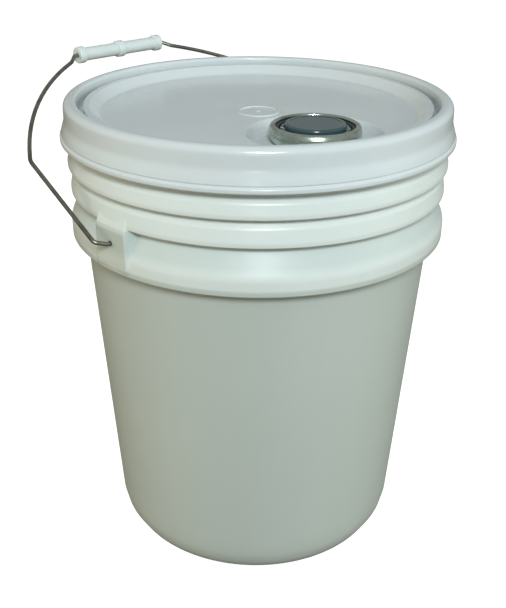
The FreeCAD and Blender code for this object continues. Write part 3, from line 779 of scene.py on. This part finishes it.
def handlePiece(name, side, body, node):
    # A rounded bar bent to half a circle, between two hinge barrels. Its top dips a little in the middle,
    # where a thumb lifts it, by 0.35 sin(a)^10.
    s = spoutSizes["handle"]
    section, tag = softCorners([(s["inner"], lidTop - s["bottom"], 0.5), (s["outer"], lidTop - s["bottom"], 0.6),
                                (s["outer"], lidTop - s["top"], 0.7), (s["inner"], lidTop - s["top"], 0.5)], steps=5)
    first = math.asin(s["offset"] / s["inner"])
    angles = np.linspace(first, np.pi - first, 90)
    middle = np.mean(section, axis=0)
    r = section[:, 0][:, None]
    y = r * np.sin(angles)
    x = r * np.cos(angles)
    z = section[:, 1][:, None] - 0.35 * (np.sin(angles) ** 10)[None, :] * (section[:, 1] > middle[1])[:, None]
    bar = np.stack([x, y, z], -1)
    cap0 = bar[:, :1].mean(0, keepdims=True).repeat(len(section), 0)
    cap1 = bar[:, -1:].mean(0, keepdims=True).repeat(len(section), 0)
    bar = np.concatenate([cap0, bar, cap1], 1)
    grids = [(bar, True, False)]
    barrelR = (s["bottom"] - s["top"]) / 2
    for end in (1, -1):
        barrel = rodAlongX(s["inner"] - 0.06, s["outer"] - 0.06, barrelR, 28) * np.array([end, 1, 1])
        grids.append((barrel + np.array([0, s["offset"], lidTop - (s["top"] + s["bottom"]) / 2]), False, True))
    flip = np.array([side, side, 1])
    grids = [(toHandleLine(grid * flip), a, b) for grid, a, b in grids]
    return makePiece(name, grids, body, [node], materials["cap"])


def spoutPieces():
    s = spoutSizes
    crimp = turnedPiece(s["crimpRing"], 180, 1.2)
    makePiece("crimpRing", [(crimp, True, True)], "lid", ["spout_crimp_ring"], materials["crimp"])
    collar = turnedPiece(s["collar"], 128, 2.0)
    makePiece("spoutCollar", [(collar, True, True)], "lid", ["spout_collar"], materials["spout"])
    liner = atSpout(turned(softCorners([(0, lidTop - 8.3, 0), (17.6, lidTop - 8.3, 0.3), (17.6, lidTop - 6.7, 0.3),
                                        (0, lidTop - 6.7, 0)], closed=False, steps=4)[0], ring(96)))
    makePiece("capLiner", [(liner, False, True)], "liner", ["cap_liner"], materials["liner"])
    wall = turnedPiece(s["bellows"], 96, 0.8)
    bellows = makePiece("spoutWall", [(wall, True, True)], None, ["spout_bellows"],
                        materials["spout"])
    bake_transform(bellows)
    nozzlePiece()
    sealPiece()
    capPiece()
    handlePiece("pullHandleFront", -1, "handle_front", "cap_handle_front")
    handlePiece("pullHandleBack", 1, "handle_back", "cap_handle_back")


spoutPieces()


# ---- bail ---------------------------------------------------------------------

bailSizes = {
    "wire": 1.6, "headRadius": 3.1, "headStart": 142.6, "headEnd": 144.2,
    "corners": [(142.6, 0, 0), (151.0, 0, 3.0), (159.0, 5.2, 4.0), (156.0, 91.5, 12.0),
                (120.2, 156.0, 214.0), (55.2, 186.9, 14.0), (47.6, 194.1, 4.5)],
    "gripLength": 89.6, "gripBody": 5.5, "gripCollar": 6.9, "gripBore": 1.95,
}


def carried(line, section, normal):
    # A ring section carried along a plane line: each ring lies across the line's tangent, spanned by the
    # plane's normal and normal x tangent, and its radius may change along the line.
    step = np.gradient(line, axis=0)
    tangent = step / np.linalg.norm(step, axis=1)[:, None]
    sideways = np.cross(normal, tangent)
    around = ring(20)
    spokes = (np.cos(around)[None, :, None] * normal[None, None, :]
              + np.sin(around)[None, :, None] * sideways[:, None, :])
    return line[:, None, :] + section[:, None, None] * spokes


def wirePiece():
    s = bailSizes
    half = np.array(s["corners"])
    other = half[::-1] * np.array([-1, 1, 1])
    flat, tag = outline(np.vstack([half, other]), lambda m, t: np.where(np.abs(m[:, 0]) > 150, 1.2, 3.0),
                        closed=False, steps=14)
    flat = np.vstack([flat, [(-s["headStart"], 0)]])
    middle = gripCentre - np.array([0, 0, pivotHeight])
    reach = np.hypot(middle[1], middle[2])
    up = middle / reach
    line = np.stack([flat[:, 0], flat[:, 1] * up[1], pivotHeight + flat[:, 1] * up[2]], -1)
    radius = np.full(len(line), s["wire"])
    heads = []
    for side in (1, -1):
        profile, tag = softCorners([(0, s["headStart"], 0), (s["headRadius"], s["headStart"], 0.5),
                                    (s["headRadius"], s["headEnd"], 0.5), (0, s["headEnd"] + 0.3, 0)],
                                   closed=False, steps=4)
        head = turned(profile, ring(28))[..., [2, 0, 1]] * np.array([side, 1, 1]) + np.array([0, 0, pivotHeight])
        heads.append((head, False, True))
    tube = carried(line, radius, np.cross(np.array([1.0, 0, 0]), up))
    ends = [np.repeat(line[i][None, None], tube.shape[1], 1) for i in (0, -1)]
    tube = np.concatenate([ends[0], tube, ends[1]], 0)
    return makePiece("bailWire", [(tube, False, True)] + heads, "bail", ["bail_wire"],
                     materials["wire"])


def gripPiece():
    # A profile carried round the grip's axis. Two faint mould seams run along it, opposite each other.
    s = bailSizes
    half, body, collar, bore = s["gripLength"] / 2, s["gripBody"], s["gripCollar"], s["gripBore"]
    side = [(bore, half, 0.4), (collar, half, 1.2), (collar, half - 6.0, 0.8), (body, half - 7.2, 0.8),
            (body, 4.2, 0.8), (collar, 3.0, 0.8)]
    corners = [(r, -x, rad) for r, x, rad in side] + side[::-1]
    line, tag = outline(corners, lambda m, t: 2.0, steps=5)
    angles = ring(96)
    seam = np.clip(1 - (np.abs(np.sin(angles)) * 6.0 / 0.45) ** 2, 0, 1) * 0.12
    points = turned(line, angles)
    outside = (line[:, 0] > body - 0.1)[:, None]
    points[..., :2] *= (1 + np.where(outside, seam[None, :] / np.maximum(line[:, 0], 1)[:, None], 0))[..., None]
    points = points[..., [2, 0, 1]] + gripCentre
    return makePiece("bailGrip", [(points, True, True)], "grip", ["bail_grip"],
                     materials["grip"])


wirePiece()
gripPiece()


# ---- stage --------------------------------------------------------------------

view = {
    "azimuth": -46.2, "heading": 0.242, "pitch": 26.518, "roll": 0.470,
    "away": 680.2, "above": 158.1, "lens": 52.37,
}
studio = {
    "sky": (0.95, 1.0, 0.98), "skyStrength": 0.30,
    "lamps": [
        {"name": "front", "azimuth": 4, "elevation": 37, "distance": 2.6, "size": 0.6, "power": 44,
         "colour": (0.85, 0.96, 1.0), "seen": True},
        {"name": "low", "azimuth": -1, "elevation": 9, "distance": 2.6, "size": 0.35, "power": 2.2,
         "colour": (0.95, 1.0, 1.0), "seen": True},
        {"name": "right", "azimuth": 82, "elevation": 18, "distance": 2.4, "size": 1.2, "power": 22,
         "colour": (0.93, 1.0, 0.97), "seen": False},
        {"name": "left", "azimuth": -82, "elevation": 14, "distance": 2.4, "size": 1.2, "power": 17,
         "colour": (1.0, 0.88, 0.60), "seen": False},
    ],
}


def placeCamera():
    # The camera looks towards the pail's axis from the side, turned by its heading, pitch and roll.
    base = math.radians(view["azimuth"])
    turn = base + math.radians(view["heading"])
    pitch, roll = math.radians(view["pitch"]), math.radians(view["roll"])
    forward = np.array([-math.sin(turn) * math.cos(pitch), math.cos(turn) * math.cos(pitch), -math.sin(pitch)])
    right = np.array([math.cos(turn), math.sin(turn), 0])
    up = np.cross(right, forward)
    tiltedRight = math.cos(roll) * right + math.sin(roll) * up
    tiltedUp = -math.sin(roll) * right + math.cos(roll) * up
    data = bpy.data.cameras.new("camera")
    data.lens = view["lens"]
    camera = bpy.data.objects.new("camera", data)
    bpy.context.scene.collection.objects.link(camera)
    matrix = np.eye(4)
    matrix[:3, 0], matrix[:3, 1], matrix[:3, 2] = tiltedRight, tiltedUp, -forward
    matrix[:3, 3] = np.array([math.sin(base) * view["away"], -math.cos(base) * view["away"],
                              lidTop + view["above"]]) * mm
    camera.matrix_world = matrix.T.tolist()
    bpy.context.scene.camera = camera


def placeLamps():
    for lamp in studio["lamps"]:
        data = bpy.data.lights.new(lamp["name"], "AREA")
        data.shape = "DISK"
        data.size = lamp["size"]
        data.energy = lamp["power"]
        data.color = lamp["colour"]
        a = math.radians(view["azimuth"] + lamp["azimuth"])
        e = math.radians(lamp["elevation"])
        place = np.array([math.sin(a) * math.cos(e), -math.cos(a) * math.cos(e), math.sin(e)]) * lamp["distance"]
        place[2] += 0.2
        aim = np.array([0, 0, 0.25]) - place
        aim /= np.linalg.norm(aim)
        right = np.cross(aim, [0, 0, 1.0])
        right /= np.linalg.norm(right)
        matrix = np.eye(4)
        matrix[:3, 0], matrix[:3, 1], matrix[:3, 2] = right, np.cross(right, aim), -aim
        matrix[:3, 3] = place
        light = bpy.data.objects.new(lamp["name"], data)
        bpy.context.scene.collection.objects.link(light)
        light.matrix_world = matrix.T.tolist()
        light.visible_glossy = lamp["seen"]    # the side lamps only fill, they leave no bright patch


def placeFloor():
    # Pale to the eye, with a soft shadow under the pail. What bounces up from it is dull and warm.
    mesh = bpy.data.meshes.new("floor")
    mesh.from_pydata([(-8, -8, 0), (8, -8, 0), (8, 8, 0), (-8, 8, 0)], [], [(0, 1, 2, 3)])
    floor = bpy.data.objects.new("floor", mesh)
    bpy.context.scene.collection.objects.link(floor)
    material, tree, bouncing = newMaterial("pale floor")
    bouncing.inputs["Base Color"].default_value = (0.20, 0.18, 0.13, 1)
    bouncing.inputs["Roughness"].default_value = 0.9
    seen = addNode(tree, "ShaderNodeBsdfPrincipled", Base_Color=(0.85, 0.85, 0.85, 1), Roughness=0.9,
                   Emission_Color=(1, 1, 1, 1), Emission_Strength=0.72)
    blendTo(tree, seen.outputs[0], bouncing.outputs[0], tree.nodes["Material Output"])
    mesh.materials.append(material)


def blendTo(tree, seen, unseen, output):
    # The first shader where the camera looks straight at it, the second for all other light.
    path = tree.nodes.new("ShaderNodeLightPath")
    mix = tree.nodes.new("ShaderNodeMixShader")
    tree.links.new(path.outputs["Is Camera Ray"], mix.inputs[0])
    tree.links.new(unseen, mix.inputs[1])
    tree.links.new(seen, mix.inputs[2])
    tree.links.new(mix.outputs[0], output.inputs["Surface"])


def placeSky():
    world = bpy.data.worlds.new("studio")
    world.use_nodes = True
    tree = world.node_tree
    light = tree.nodes["Background"]
    light.inputs["Color"].default_value = (*studio["sky"], 1)
    light.inputs["Strength"].default_value = studio["skyStrength"]
    seen = addNode(tree, "ShaderNodeBackground", Color=(1, 1, 1, 1), Strength=1.0)
    blendTo(tree, seen.outputs[0], light.outputs[0], tree.nodes["World Output"])
    bpy.context.scene.world = world
    bpy.context.scene.view_settings.view_transform = "Standard"


placeCamera()
placeLamps()
placeFloor()
placeSky()
print("stage ready")

bpy.context.view_layer.update()
